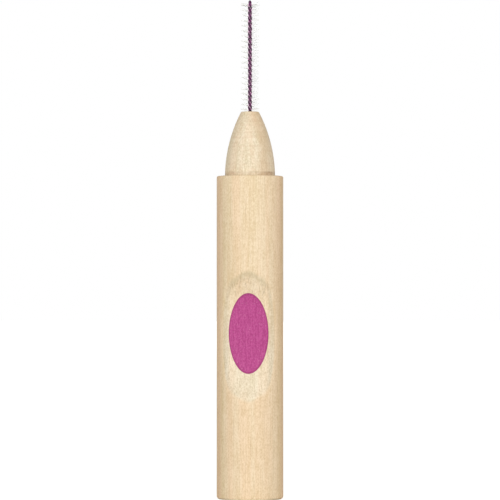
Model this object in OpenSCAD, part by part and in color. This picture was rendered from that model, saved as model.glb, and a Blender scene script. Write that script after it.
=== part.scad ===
// Interdental brush: a turned birch handle with a thumb scoop and a colour mark, and a
// brush of nylon filaments held in a twisted pair of plastic-coated steel wire.
// Millimetres. The part stands on the sawn end of its handle with +Z towards the tip of
// the brush, the origin is the centre of that end, and the thumb scoop faces -Y.

/* [Barrel] */
// Diameter of the turned barrel
barrel_d = 6.4; // [5.8:0.1:9]
// Length of the barrel, from its sawn end to the shoulder
barrel_len = 31; // [24:0.5:80]
// Radius on the edge of the sawn end
base_round = 0.3; // [0.05:0.05:0.5]
// Radius on the edge of the shoulder
rim_round = 0.15; // [0.05:0.05:0.3]

/* [Nose] */
// Diameter of the nose where it meets the shoulder
nose_base_d = 4.8; // [3.6:0.1:5]
// Diameter of the nose at its flat top
nose_tip_d = 1.7; // [1.4:0.05:3]
// Length of the nose, from the shoulder to its flat top
nose_len = 6.2; // [4.5:0.1:12]
// Length of the straight foot above the shoulder, which the mouth of a cover goes over
nose_foot = 0.4; // [0.2:0.05:0.5]
// Lean of the side where the foot ends, as a share of its lean from there to the top
nose_lean = 0.15; // [0.1:0.05:0.5]
// Radius on the edge of the flat top
nose_round = 0.1; // [0.05:0.01:0.3]

/* [Thumb scoop] */
// Length of the scoop along the barrel
scoop_len = 12.5; // [10:0.1:16]
// Depth of the scoop at its middle
scoop_depth = 1.05; // [0.8:0.05:2]
// Height of the scoop's middle above the sawn end
scoop_z = 15.6; // [8.5:0.1:23]

/* [Colour mark] */
// Width of the printed oval
mark_w = 3.8; // [2:0.1:4.8]
// Length of the printed oval
mark_len = 7.7; // [4:0.1:9]
// Height of the oval's middle above the scoop's middle
mark_rise = 0.3; // [-0.6:0.05:0.6]
// Thickness of the printed film
film_t = 0.03; // [0.02:0.005:0.1]

/* [Wire] */
// Diameter of the bare steel wire
core_d = 0.14; // [0.1:0.01:0.2]
// Thickness of the plastic coating on the wire
coat_t = 0.0175; // [0.01:0.0025:0.03]
// Length of one full turn of the twisted pair
turn_len = 1.01; // [0.85:0.01:1.4]
// Length of the pair that stands out of the nose, up to its folded tip
wire_out = 10.75; // [8:0.25:16]
// Length of the pair that is glued into the nose
wire_in = 4; // [3:0.25:12]
// Length over which the pair untwists below its folded tip
fold_lead = 0.35; // [0.3:0.05:0.8]

/* [Glue] */
// Thickness of the glue between the pair and the wall of its bore
glue_t = 0.06; // [0.03:0.01:0.2]
// Gap between the pair's outer circle and the glue around it
glue_gap = 0.01; // [0.005:0.005:0.03]
// Height of the small collar of glue above the nose
glue_rise = 0.06; // [0.02:0.01:0.08]
// Width of the collar's top, outside the pair
glue_lip = 0.015; // [0.005:0.005:0.025]
// Depth of the glue below the cut ends of the wire
glue_plug = 0.3; // [0.1:0.05:1]

/* [Brush] */
// Diameter of the brush over the tips of its filaments
brush_d = 1.8; // [1.2:0.1:5]
// Thickness of the layer of filaments squeezed between the two legs
layer_t = 0.04; // [0.02:0.005:0.06]
// Gap between that layer and each leg
layer_gap = 0.01; // [0.008:0.001:0.02]
// Width of the squeezed layer, across the pair
layer_w = 0.2; // [0.16:0.02:0.3]
// Number of filaments in each half turn of the pair
half_turn_filaments = 10; // [8:1:12]
// Height above the nose of the first filament that lies along X
first_row = 0.19; // [0.15:0.01:0.6]
// Length of bare wire between the nose and the lowest filament
foot_bare = 0.115; // [0.09:0.005:0.4]
// Length of bare wire above the highest filament, with the folded tip
tip_bare = 0.34; // [0.32:0.02:1]

/* [Neck] */
// Height above the nose at which the pair starts to bend
neck_rise = 0.1; // [0.09:0.01:0.5]
// Length of the pair that takes the bend
neck_len = 2; // [1.6:0.1:3]

/* [Hidden] */
$fn = 96;
overrun = 1;

birch = [0.94, 0.86, 0.71];
magenta = [0.75, 0.33, 0.57];
dark_glue = [0.16, 0.11, 0.1];
steel = [0.75, 0.76, 0.78];
purple = [0.44, 0.24, 0.4];
clear_nylon = [0.93, 0.93, 0.91];

barrel_r = barrel_d / 2;
nose_top = barrel_len + nose_len;
nose_base_r = nose_base_d / 2;
nose_tip_r = nose_tip_d / 2;
// The nose's side is an arc from the top of its straight foot to the edge of its flat top
nose_rise = nose_len - nose_foot;
nose_drop = nose_base_r - nose_tip_r;
nose_chord_a = atan2(nose_drop, nose_rise);
nose_foot_a = nose_lean * nose_chord_a;
nose_arc_r = norm([nose_rise, nose_drop]) / 2 / sin(nose_chord_a - nose_foot_a);
nose_arc_x = nose_base_r - nose_arc_r * cos(nose_foot_a);
nose_arc_z = barrel_len + nose_foot - nose_arc_r * sin(nose_foot_a);

// The scoop is cut by a cylinder that lies along X in front of the barrel
scoop_r = (scoop_len * scoop_len / 4 + scoop_depth * scoop_depth) / (2 * scoop_depth);
scoop_y = scoop_depth - barrel_r - scoop_r;
mark_z = scoop_z + mark_rise;
mark_sides = 48;

core_r = core_d / 2;
coated_r = core_r + coat_t;
leg_r = coated_r + layer_t / 2 + layer_gap;
pair_r = leg_r + coated_r;
pair_z0 = nose_top - wire_in;
pair_z1 = nose_top + wire_out;
fold_z = pair_z1 - pair_r;
untwist_z = fold_z - fold_lead;
row_z = nose_top + first_row;
wire_sides = 5;
turn_rings = 8;
fold_steps = 6;

glue_hole_r = pair_r + glue_gap;
bore_r = glue_hole_r + glue_t;
glue_hole_z = pair_z0 - coated_r;
bore_z = glue_hole_z - glue_plug;

neck_z0 = nose_top + neck_rise;
neck_z1 = neck_z0 + neck_len;

brush_r = brush_d / 2;
filament_dz = turn_len / 2 / half_turn_filaments;
layer_z0 = nose_top + foot_bare;
layer_z1 = pair_z1 - tip_bare;
filaments = floor((layer_z1 - layer_z0) / filament_dz);
neck_filaments = round((neck_z1 - layer_z0) / filament_dz);
// A filament's free end is this share as thick as its root
filament_tip_share = 0.8;

function flat_dir(a) = [cos(a), sin(a), 0];
function unit(v) = v / norm(v);

// The pair is left-handed: its angle falls as z rises, and the fall eases off below the
// fold. At this angle the filaments run out, and the legs lie at right angles to it.
function eased(z) = let (x = max(z - untwist_z, 0)) z - x * x / (2 * fold_lead);
function filament_angle(z) = -360 * (eased(z) - row_z) / turn_len;
function leg_angle(z) = filament_angle(z) + 90;
function twist_slope(z) = -2 * PI / turn_len * (1 - max(z - untwist_z, 0) / fold_lead);

// A station on a wire is its centre, the way out from the pair's axis, and the way along
function leg_station(z) =
    let (a = leg_angle(z), out = flat_dir(a), side = flat_dir(a + 90))
    [leg_r * out + [0, 0, z], out, unit(leg_r * twist_slope(z) * side + [0, 0, 1])];
function far_side(s) = [[-s[0].x, -s[0].y, s[0].z], -s[1], [s[2].x, s[2].y, -s[2].z]];
function fold_station(b) =
    let (out = cos(b) * flat_dir(leg_angle(fold_z)) + [0, 0, sin(b)])
    [
        leg_r * out + [0, 0, fold_z],
        out,
        [0, 0, cos(b)] - sin(b) * flat_dir(leg_angle(fold_z))
    ];

function leg_path(z0, z1) =
    let (n = ceil((z1 - z0) / turn_len * turn_rings))
    [for (i = [0:n]) leg_station(z0 + (z1 - z0) * i / n)];
function folded_path(z0) =
    let (up = leg_path(z0, fold_z), n = len(up))
    concat(
        up,
        [for (i = [1:fold_steps - 1]) fold_station(180 * i / fold_steps)],
        [for (i = [n - 1:-1:0]) far_side(up[i])]
    );

function ring(s, r) =
    [for (k = [0:wire_sides - 1])
        let (a = 360 * k / wire_sides)
        s[0] + r * (cos(a) * s[1] + sin(a) * cross(s[2], s[1]))];
function skin(path, r) = [for (s = path) each ring(s, r)];

// Two triangles for each side of the tube between one ring and the next
function skin_faces(rings, first, inward) =
    [for (i = [0:rings - 2], k = [0:wire_sides - 1])
        let (
            a = first + i * wire_sides + k,
            b = first + i * wire_sides + (k + 1) % wire_sides,
            c = b + wire_sides,
            d = a + wire_sides
        )
        each inward ? [[a, b, c], [a, c, d]] : [[a, c, b], [a, d, c]]];
function cap_faces(first, far) =
    [for (k = [1:wire_sides - 2])
        far ? [first, first + k + 1, first + k] : [first, first + k, first + k + 1]];
function rim_faces(outer, inner, far) =
    [for (k = [0:wire_sides - 1])
        let (m = (k + 1) % wire_sides, a = outer + k, b = outer + m, c = inner + m, d = inner + k)
        each far ? [[a, c, b], [a, d, c]] : [[a, b, c], [a, c, d]]];

module solid_wire(path, r) {
    last = (len(path) - 1) * wire_sides;
    polyhedron(
        skin(path, r),
        concat(skin_faces(len(path), 0, false), cap_faces(0, false), cap_faces(last, true))
    );
}

module wire_sleeve(path, r_out, r_in) {
    n = len(path) * wire_sides;
    polyhedron(
        concat(skin(path, r_out), skin(path, r_in)),
        concat(
            skin_faces(len(path), 0, false),
            skin_faces(len(path), n, true),
            rim_faces(0, n, false),
            rim_faces(n - wire_sides, 2 * n - wire_sides, true)
        )
    );
}

module both_legs() {
    children();
    rotate([0, 0, 180]) children();
}

module core_legs(z0, z1) {
    color(steel) both_legs() solid_wire(leg_path(z0, z1), core_r);
}

module coating_legs(z0, z1) {
    color(purple) both_legs() wire_sleeve(leg_path(z0, z1), coated_r, core_r);
}

// The squeezed layer is a twisted strip with four corners at each level. A filament is one
// triangle of the strip's edge drawn out to the brush's radius, to either side.
function layer_level(j) =
    let (
        z = layer_z0 + j * filament_dz,
        out = flat_dir(filament_angle(z)) * layer_w / 2,
        side = flat_dir(filament_angle(z) + 90) * layer_t / 2,
        c = [0, 0, z]
    )
    [c + out - side, c + out + side, c - out + side, c - out - side];
function filament_tip(j, way) =
    let (
        z = layer_z0 + (j + 0.5) * filament_dz,
        out = flat_dir(filament_angle(z)) * way,
        side = flat_dir(filament_angle(z) + 90) * way * layer_t / 2 * filament_tip_share,
        rise = [0, 0, filament_dz / 2 * filament_tip_share],
        c = out * brush_r + [0, 0, z]
    )
    [c - side - rise, c + side + rise, c + side - rise];

// One filament's free surface: three sides of two triangles, and its end
function filament_faces(root, tip) =
    concat(
        [for (k = [0:2])
            let (m = (k + 1) % 3)
            each [[root[k], root[m], tip + m], [root[k], tip + m, tip + k]]],
        [[tip, tip + 1, tip + 2]]
    );

module filaments_in_layer(from, to) {
    n = to - from;
    tips = 4 * (n + 1);
    polyhedron(
        concat(
            [for (j = [from:to]) each layer_level(j)],
            [for (j = [from:to - 1], way = [1, -1]) each filament_tip(j, way)]
        ),
        concat(
            [[0, 1, 2], [0, 2, 3]],
            [for (i = [0:n - 1])
                let (a = 4 * i, b = a + 4, tip = tips + 6 * i)
                each concat(
                    [[a + 1, b + 1, b + 2], [a + 1, b + 2, a + 2]],
                    [[a + 3, b + 3, b], [a + 3, b, a]],
                    [[a, b, b + 1], [a + 2, b + 2, b + 3]],
                    filament_faces([a, b + 1, a + 1], tip),
                    filament_faces([a + 2, b + 3, a + 3], tip + 3)
                )],
            [[4 * n, 4 * n + 2, 4 * n + 1], [4 * n, 4 * n + 3, 4 * n + 2]]
        )
    );
}

// Half of the barrel's section, with both of its edges rounded
module barrel_section() {
    square([barrel_r - base_round, barrel_len / 2]);
    translate([0, base_round]) square([barrel_r, barrel_len - base_round - rim_round]);
    translate([barrel_r - base_round, base_round]) circle(base_round);
    translate([0, base_round]) square([barrel_r - rim_round, barrel_len - base_round]);
    translate([barrel_r - rim_round, barrel_len - rim_round]) circle(rim_round);
}

// Half of the nose's section. The arc is widest below the shoulder, so cutting it off at
// the nose's radius leaves the straight foot. The foot runs on a little inside the barrel.
// The top edge is a small circle that touches the arc and the flat top.
module nose_section() {
    edge_z = nose_top - nose_round;
    edge_up = edge_z - nose_arc_z;
    edge_x = nose_arc_x + sqrt(pow(nose_arc_r - nose_round, 2) - pow(edge_up, 2));
    arc_end = nose_arc_z + edge_up * nose_arc_r / (nose_arc_r - nose_round);
    sunk_z = barrel_len - nose_round;
    intersection() {
        translate([nose_arc_x, nose_arc_z]) circle(nose_arc_r);
        translate([0, sunk_z]) square([nose_base_r, arc_end - sunk_z]);
    }
    translate([0, barrel_len]) square([edge_x, nose_len]);
    translate([edge_x, edge_z]) circle(nose_round);
}

module handle() {
    color(birch) difference() {
        rotate_extrude() union() {
            barrel_section();
            nose_section();
        }
        translate([0, scoop_y, scoop_z]) rotate([0, 90, 0])
            cylinder(r = scoop_r, h = barrel_d + 2 * overrun, center = true);
        translate([0, 0, bore_z]) cylinder(r = bore_r, h = nose_top - bore_z + overrun);
    }
}

module size_mark() {
    color(magenta) intersection() {
        translate([0, scoop_y, scoop_z]) rotate([0, 90, 0]) difference() {
            cylinder(r = scoop_r, h = barrel_d, center = true);
            cylinder(r = scoop_r - film_t, h = barrel_d + 2 * overrun, center = true);
        }
        translate([0, 0, mark_z]) rotate([90, 0, 0]) linear_extrude(barrel_r)
            polygon([for (k = [0:mark_sides - 1])
                let (a = 360 * k / mark_sides) [mark_w / 2 * cos(a), mark_len / 2 * sin(a)]]);
        cylinder(r = barrel_r, h = barrel_len);
    }
}

module wire_adhesive() {
    color(dark_glue) difference() {
        union() {
            translate([0, 0, bore_z]) cylinder(r = bore_r, h = nose_top - bore_z);
            translate([0, 0, nose_top])
                cylinder(r1 = bore_r, r2 = glue_hole_r + glue_lip, h = glue_rise);
        }
        translate([0, 0, glue_hole_z])
            cylinder(r = glue_hole_r, h = nose_top - glue_hole_z + glue_rise + overrun);
    }
}

module wire_core_root() { core_legs(pair_z0, neck_z0); }

module wire_coating_root() { coating_legs(pair_z0, neck_z0); }

module wire_core_neck() { core_legs(neck_z0, neck_z1); }

module wire_coating_neck() { coating_legs(neck_z0, neck_z1); }

module bristles_neck() {
    color(clear_nylon) filaments_in_layer(0, neck_filaments);
}

module wire_core_head() {
    color(steel) solid_wire(folded_path(neck_z1), core_r);
}

module wire_coating_head() {
    color(purple) wire_sleeve(folded_path(neck_z1), coated_r, core_r);
}

module bristles_head() {
    color(clear_nylon) filaments_in_layer(neck_filaments, filaments);
}

handle();
size_mark();
wire_adhesive();
wire_core_root();
wire_coating_root();
wire_core_neck();
wire_coating_neck();
bristles_neck();
wire_core_head();
wire_coating_head();
bristles_head();
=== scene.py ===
# %% [markdown]
# An interdental brush: a turned birch handle with a thumb scoop and a printed size mark,
# and a small brush of nylon filaments held in a twisted pair of coated wire. The packed
# model is the fixed frame. Each piece here is made in that frame, in metres, so it needs
# no fitting afterwards.

# %% Load the frame
import math
import random

import bpy
from mathutils import Matrix, Vector


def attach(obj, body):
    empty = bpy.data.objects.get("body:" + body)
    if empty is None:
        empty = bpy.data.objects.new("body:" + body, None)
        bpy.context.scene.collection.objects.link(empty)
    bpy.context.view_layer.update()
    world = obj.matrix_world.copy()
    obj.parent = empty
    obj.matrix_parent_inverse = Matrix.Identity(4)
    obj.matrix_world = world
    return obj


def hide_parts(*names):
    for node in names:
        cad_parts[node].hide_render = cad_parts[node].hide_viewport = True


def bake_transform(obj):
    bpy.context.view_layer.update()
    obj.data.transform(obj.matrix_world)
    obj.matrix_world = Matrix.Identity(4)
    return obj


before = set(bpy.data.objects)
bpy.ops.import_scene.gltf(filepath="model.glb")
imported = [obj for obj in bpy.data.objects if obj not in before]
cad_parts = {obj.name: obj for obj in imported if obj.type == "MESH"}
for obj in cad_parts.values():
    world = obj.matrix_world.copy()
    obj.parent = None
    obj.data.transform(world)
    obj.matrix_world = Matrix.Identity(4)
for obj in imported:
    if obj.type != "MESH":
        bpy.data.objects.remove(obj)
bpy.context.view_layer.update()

MM = 0.001

# %% [markdown]
# Blender's operators act on whatever is selected, so every step starts from nothing
# selected. Each piece is reported once it is made, so that its size can be held against
# the real one's.

# %% Helpers for modelling


def deselect_all():
    """Object Mode, with nothing selected."""
    if bpy.context.object and bpy.context.object.mode != "OBJECT":
        bpy.ops.object.mode_set(mode="OBJECT")
    bpy.ops.object.select_all(action="DESELECT")


def select_only(piece):
    """One piece selected and active, for the next operator."""
    deselect_all()
    piece.select_set(True)
    bpy.context.view_layer.objects.active = piece


def report(piece):
    """What a piece measures."""
    size = piece.dimensions / MM
    triangles = sum(len(p.vertices) - 2 for p in piece.data.polygons)
    print(f"{piece.name}: {triangles} triangles, {size.x:.2f} x {size.y:.2f} x {size.z:.2f} mm")


deselect_all()
print(len(bpy.context.selected_objects), "objects are selected")

# %% [markdown]
# The handle is one stick of quarter-inch birch dowel, turned on a lathe: its barrel keeps
# the dowel's own width, with both edges rounded. It could be cut from a cylinder, but a
# turned piece is best made the lathe's way, where half of its outline is drawn as a line
# of points and spun round the axis. The line starts at the middle of the sawn end. Where
# the thumb scoop will be, its points are close together, so that it can be shaped there.

# %% Outline of the barrel, in millimetres
BARREL_R = 3.2
BARREL_LEN = 31.0
BASE_ROUND = 0.3
RIM_ROUND = 0.15
BASE_RINGS = (0, 1, 2, 2.7)
EDGE_STEPS = 6
BARREL_ROWS = 1.5

SCOOP_LEN = 12.5
SCOOP_Z = 15.6
SCOOP_MARGIN = 0.5
SCOOP_ROWS = 0.1
scoop_foot = SCOOP_Z - SCOOP_LEN / 2 - SCOOP_MARGIN
scoop_top = SCOOP_Z + SCOOP_LEN / 2 + SCOOP_MARGIN


def arc(cx, cz, r, a0, a1, n):
    """n + 1 points of an arc in the plane of the outline, with angles in degrees."""
    angles = [math.radians(a0 + (a1 - a0) * i / n) for i in range(n + 1)]
    return [(cx + r * math.cos(a), cz + r * math.sin(a)) for a in angles]


def rows(r, z0, z1, gap):
    """Points up a straight side, about one gap apart."""
    n = max(1, round((z1 - z0) / gap))
    return [(r, z0 + (z1 - z0) * i / n) for i in range(n + 1)]


rim_z = BARREL_LEN - RIM_ROUND
outline = [(r, 0) for r in BASE_RINGS]
outline += arc(BARREL_R - BASE_ROUND, BASE_ROUND, BASE_ROUND, -90, 0, EDGE_STEPS)
outline += rows(BARREL_R, BASE_ROUND, scoop_foot, BARREL_ROWS)[1:]
outline += rows(BARREL_R, scoop_foot, scoop_top, SCOOP_ROWS)[1:]
outline += rows(BARREL_R, scoop_top, rim_z, BARREL_ROWS)[1:]
outline += arc(BARREL_R - RIM_ROUND, rim_z, RIM_ROUND, 0, 90, EDGE_STEPS)[1:]
print(len(outline), "points from the sawn end to the shoulder")

# %% [markdown]
# A shaped knife cuts the nose: a square shoulder, a short straight foot where the knife
# stops, and a long curve up to a small flat top. The curve could be traced point by
# point, but one arc fits it. Its radius follows from its two ends and from how far it
# leans at the foot, and a small circle that touches it rounds the edge of the top.

# %% Outline of the nose
NOSE_BASE_R = 2.4
NOSE_TIP_R = 0.85
NOSE_LEN = 6.2
NOSE_FOOT = 0.4
NOSE_LEAN = 0.15
NOSE_ROUND = 0.1
NOSE_TOP = BARREL_LEN + NOSE_LEN
SHOULDER_RING = 2.75
FOOT_ROWS = 0.1
NOSE_STEPS = 36
TOP_EDGE_STEPS = 5

nose_rise = NOSE_LEN - NOSE_FOOT
nose_drop = NOSE_BASE_R - NOSE_TIP_R
chord_a = math.atan2(nose_drop, nose_rise)
foot_a = NOSE_LEAN * chord_a
nose_arc_r = math.hypot(nose_rise, nose_drop) / 2 / math.sin(chord_a - foot_a)
nose_arc_x = NOSE_BASE_R - nose_arc_r * math.cos(foot_a)
nose_arc_z = BARREL_LEN + NOSE_FOOT - nose_arc_r * math.sin(foot_a)
edge_z = NOSE_TOP - NOSE_ROUND
edge_up = edge_z - nose_arc_z
edge_x = nose_arc_x + math.sqrt((nose_arc_r - NOSE_ROUND) ** 2 - edge_up**2)
edge_a = math.degrees(math.atan2(edge_up, edge_x - nose_arc_x))

outline += [(SHOULDER_RING, BARREL_LEN), (NOSE_BASE_R, BARREL_LEN)]
outline += rows(NOSE_BASE_R, BARREL_LEN, BARREL_LEN + NOSE_FOOT, FOOT_ROWS)[1:]
outline += arc(nose_arc_x, nose_arc_z, nose_arc_r, math.degrees(foot_a), edge_a, NOSE_STEPS)[1:]
outline += arc(edge_x, edge_z, NOSE_ROUND, edge_a, 90, TOP_EDGE_STEPS)[1:]
print(len(outline), "points; the nose's arc has a radius of", round(nose_arc_r, 2), "mm")

# %% [markdown]
# The wire is glued into a blind bore, drilled down from the nose's flat top. The bore
# could be left out, because it is hidden, but then the wire would cut through solid wood.
# So the line runs on over the top, down the wall of the bore and across its floor. The
# bore's width adds up from what it holds: two coated wires, the layer of filaments
# squeezed between them, a thin gap and the glue.

# %% Outline of the bore
CORE_R = 0.07
COAT_T = 0.0175
LAYER_T = 0.04
LAYER_GAP = 0.01
WIRE_IN = 4
GLUE_GAP = 0.01
GLUE_T = 0.06
GLUE_PLUG = 0.3
TOP_RING = 0.5
BORE_ROWS = 1

COATED_R = CORE_R + COAT_T
LEG_R = COATED_R + LAYER_T / 2 + LAYER_GAP
PAIR_R = LEG_R + COATED_R
PAIR_Z0 = NOSE_TOP - WIRE_IN
GLUE_HOLE_R = PAIR_R + GLUE_GAP
GLUE_HOLE_Z = PAIR_Z0 - COATED_R
BORE_R = GLUE_HOLE_R + GLUE_T
BORE_Z = GLUE_HOLE_Z - GLUE_PLUG

outline += [(TOP_RING, NOSE_TOP), (BORE_R, NOSE_TOP)]
outline += rows(BORE_R, BORE_Z, NOSE_TOP, BORE_ROWS)[::-1][1:]
outline += [(0, BORE_Z)]
print(len(outline), "points; the bore is", round(2 * BORE_R, 3), "mm wide")

# %% [markdown]
# Spinning leaves two sets of points where the turn ends on its start, and many at the
# axis. They are merged before the normals are turned outwards. The merge distance is
# given, because Blender's own default is more than half as wide as the brush's wire.

# %% Spin the handle
HANDLE_STEPS = 192
MERGE = 1e-7


def spin_profile(name, profile, steps):
    """A lathe: one point is extruded along the profile, and the line is spun about Z."""
    deselect_all()
    start = Vector((profile[0][0], 0, profile[0][1])) * MM
    bpy.ops.mesh.primitive_plane_add(size=MM, location=start)
    piece = bpy.context.object
    piece.name = name
    bpy.ops.object.transform_apply(location=True)
    bpy.ops.object.mode_set(mode="EDIT")
    bpy.ops.mesh.merge(type="CENTER")
    for (r0, z0), (r1, z1) in zip(profile, profile[1:]):
        step = Vector((r1 - r0, 0, z1 - z0)) * MM
        bpy.ops.mesh.extrude_vertices_move(TRANSFORM_OT_translate={"value": step})
    bpy.ops.mesh.select_all(action="SELECT")
    bpy.ops.mesh.spin(steps=steps, angle=2 * math.pi, center=(0, 0, 0), axis=(0, 0, 1))
    bpy.ops.mesh.select_all(action="SELECT")
    bpy.ops.mesh.remove_doubles(threshold=MERGE)
    bpy.ops.mesh.normals_make_consistent(inside=False)
    bpy.ops.object.mode_set(mode="OBJECT")
    return piece


handle = spin_profile("birch_handle", outline, HANDLE_STEPS)
report(handle)

# %% [markdown]
# The thumb scoop is pressed against a large sanding drum that lies across the handle. A
# boolean would cut the same hollow but leave a razor edge, and the real rim is rubbed
# soft, most of all at its two sides. So each point of the barrel is drawn back along its
# own radius to where the drum's surface is, and near the rim the two surfaces are eased
# into each other.

# %% Sand the scoop
SCOOP_DEPTH = 1.05
END_EASE = 0.16
SIDE_EASE = 0.7
# The rim's ease grows between these two places, as shares of the barrel's radius
EASE_FROM = 0.25
EASE_TO = 0.7
SKIN_T = 0.01
CREASE_ANGLE = math.radians(35)

drum_r = (SCOOP_LEN**2 / 4 + SCOOP_DEPTH**2) / (2 * SCOOP_DEPTH)
drum_y = SCOOP_DEPTH - BARREL_R - drum_r


def drum_surface(z):
    """Distance from the handle's axis to the drum at a height, along -Y."""
    away = drum_r**2 - (z - SCOOP_Z) ** 2
    return -(drum_y + math.sqrt(away)) if away > 0 else BARREL_R * 2


def rim_ease(aside):
    """How far the rim is eased: little at the scoop's ends, more at its sides."""
    t = min(max((aside - EASE_FROM) / (EASE_TO - EASE_FROM), 0), 1)
    return END_EASE + (SIDE_EASE - END_EASE) * t * t * (3 - 2 * t)


def eased_min(a, b, ease):
    """The smaller of two, with the corner where they cross rounded off."""
    h = max(ease - abs(a - b), 0) / ease
    return min(a, b) - h * h * ease / 4


moved = 0
for vertex in handle.data.vertices:
    x, y, z = vertex.co / MM
    r = math.hypot(x, y)
    if y < 0 and r > BARREL_R - SKIN_T and scoop_foot < z < scoop_top:
        reach = drum_surface(z) * r / -y
        shaped = eased_min(r, reach, rim_ease(abs(x) / r))
        if shaped < r:
            vertex.co.x *= shaped / r
            vertex.co.y *= shaped / r
            moved += 1
select_only(handle)
bpy.ops.object.shade_smooth_by_angle(angle=CREASE_ANGLE)
print(moved, "points sanded back")
report(handle)

# %% [markdown]
# The size mark is a thin film of ink that a soft pad presses into the scoop. It could be
# one flat face bent to the wood, but it starts as an oval of many rings, which bends more
# evenly. It is drawn upright, in front of the barrel.

# %% Draw the oval
MARK_W = 3.8
MARK_LEN = 7.7
MARK_RISE = 0.3
MARK_Z = SCOOP_Z + MARK_RISE
MARK_SIDES = 96
MARK_RINGS = 12

centre = Vector((0, -BARREL_R * MM, MARK_Z * MM))
deselect_all()
bpy.ops.mesh.primitive_circle_add(
    vertices=MARK_SIDES,
    radius=MARK_LEN / 2 * MM,
    location=centre,
    rotation=(math.radians(90), 0, 0),
)
mark = bpy.context.object
mark.name = "oval_print"
mark.scale = (MARK_W / MARK_LEN, 1, 1)
bpy.ops.object.transform_apply(location=True, rotation=True, scale=True)
bpy.ops.object.mode_set(mode="EDIT")
bpy.ops.mesh.select_all(action="SELECT")
for ring in range(MARK_RINGS, 1, -1):
    bpy.ops.mesh.extrude_edges_move()
    bpy.ops.transform.resize(value=[(ring - 1) / ring] * 3, center_override=centre)
bpy.ops.mesh.extrude_edges_move()
bpy.ops.mesh.merge(type="CENTER")
bpy.ops.mesh.select_all(action="SELECT")
bpy.ops.mesh.normals_make_consistent(inside=False)
bpy.ops.object.mode_set(mode="OBJECT")
if mark.data.polygons[0].normal.y > 0:
    mark.data.flip_normals()
report(mark)

# %% [markdown]
# Shrinkwrap presses the oval straight back onto the wood, as the pad does, and Solidify
# gives the ink its thickness. The film goes a little way into the wood, so that no light
# gets in under its edge.

# %% Press it into the scoop
FILM_T = 0.03
FILM_SUNK = 0.005
PRESS_REACH = 3


def apply_modifiers(piece):
    """The shape that a piece's modifiers give becomes its own mesh."""
    select_only(piece)
    for modifier in list(piece.modifiers):
        bpy.ops.object.modifier_apply(modifier=modifier.name)


press = mark.modifiers.new("press", "SHRINKWRAP")
press.target = handle
press.wrap_method = "PROJECT"
press.use_project_x = False
press.use_project_y = True
press.use_project_z = False
press.use_positive_direction = True
press.use_negative_direction = False
press.project_limit = PRESS_REACH * MM
film = FILM_T + FILM_SUNK
ink_body = mark.modifiers.new("ink_body", "SOLIDIFY")
ink_body.thickness = film * MM
ink_body.offset = FILM_T / film * 2 - 1
apply_modifiers(mark)
bpy.ops.object.shade_smooth_by_angle(angle=CREASE_ANGLE)
report(mark)

# %% [markdown]
# A drop of dark glue holds the wire in its bore. Only the small collar at the mouth
# shows, where the drop has crept up the wire and dried hollow. It is as round as the
# handle, so it is spun too, from a line that starts and ends on the axis: up the wall of
# the bore, over the hollow collar, and down the hole that the pair of wires fills.

# %% The glue
GLUE_ROWS = 0.9
GLUE_STEPS = 48
COLLAR_RISE = 0.06
# Points of the hollow collar, as (outwards from the bore's wall, up from the nose)
COLLAR = ((0.03, 0), (-0.005, 0.012), (-0.03, 0.032))
ROUND_ANGLE = math.radians(50)

glue_outline = [(0, BORE_Z), (BORE_R, BORE_Z)]
glue_outline += rows(BORE_R, BORE_Z, NOSE_TOP, GLUE_ROWS)[1:]
glue_outline += [(BORE_R + out, NOSE_TOP + up) for out, up in COLLAR]
hole = rows(GLUE_HOLE_R, GLUE_HOLE_Z, NOSE_TOP + COLLAR_RISE, GLUE_ROWS)
glue_outline += hole[::-1]
glue_outline += [(0, GLUE_HOLE_Z)]
glue = spin_profile("glue_collar", glue_outline, GLUE_STEPS)
bpy.ops.object.shade_smooth_by_angle(angle=ROUND_ANGLE)
report(glue)

# %% [markdown]
# The brush is built on one length of wire, bent double and twisted on itself. Two tubes
# twisted by a modifier would have no fold between them, so the whole path is worked out:
# a left-handed screw up one leg, half a small circle over the tip, and the same screw
# down the other leg. The twist runs out just below the fold.

# %% Path of the wire
WIRE_OUT = 10.75
TURN_LEN = 1.01
FOLD_LEAD = 0.35
FIRST_ROW = 0.19
TURN_POINTS = 22
FOLD_POINTS = 14

PAIR_Z1 = NOSE_TOP + WIRE_OUT
FOLD_Z = PAIR_Z1 - PAIR_R
UNTWIST_Z = FOLD_Z - FOLD_LEAD
ROW_Z = NOSE_TOP + FIRST_ROW


def eased(z):
    """The height that the twist has reached: it falls behind where the twist runs out."""
    past = max(z - UNTWIST_Z, 0)
    return z - past * past / (2 * FOLD_LEAD)


def filament_angle(z):
    """Way round the axis, in radians, in which the filaments run out at this height."""
    return -2 * math.pi * (eased(z) - ROW_Z) / TURN_LEN


def leg_point(z, side):
    """A point of one leg or the other, which lie at right angles to the filaments."""
    a = filament_angle(z) + math.pi / 2
    return Vector((side * LEG_R * math.cos(a), side * LEG_R * math.sin(a), z)) * MM


count = math.ceil((FOLD_Z - PAIR_Z0) / TURN_LEN * TURN_POINTS)
heights = [PAIR_Z0 + (FOLD_Z - PAIR_Z0) * i / count for i in range(count + 1)]
out = leg_point(FOLD_Z, 1)
out.z = 0
fold = [
    out * math.cos(b) + Vector((0, 0, FOLD_Z + LEG_R * math.sin(b))) * MM
    for b in (math.pi * i / FOLD_POINTS for i in range(1, FOLD_POINTS))
]
wire_path = [leg_point(z, 1) for z in heights] + fold
wire_path += [leg_point(z, -1) for z in reversed(heights)]
length = sum((b - a).length for a, b in zip(wire_path, wire_path[1:]))
print(f"{length / MM:.1f} mm of wire; the whole brush is {PAIR_Z1:.2f} mm long")

# %% [markdown]
# The core is a drawn steel wire. A path this long is best made as a curve with a round
# section, which then becomes a mesh, because extruding a ring along it by hand would
# take hundreds of steps.

# %% Steel core
WIRE_BEVEL = 4


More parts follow.
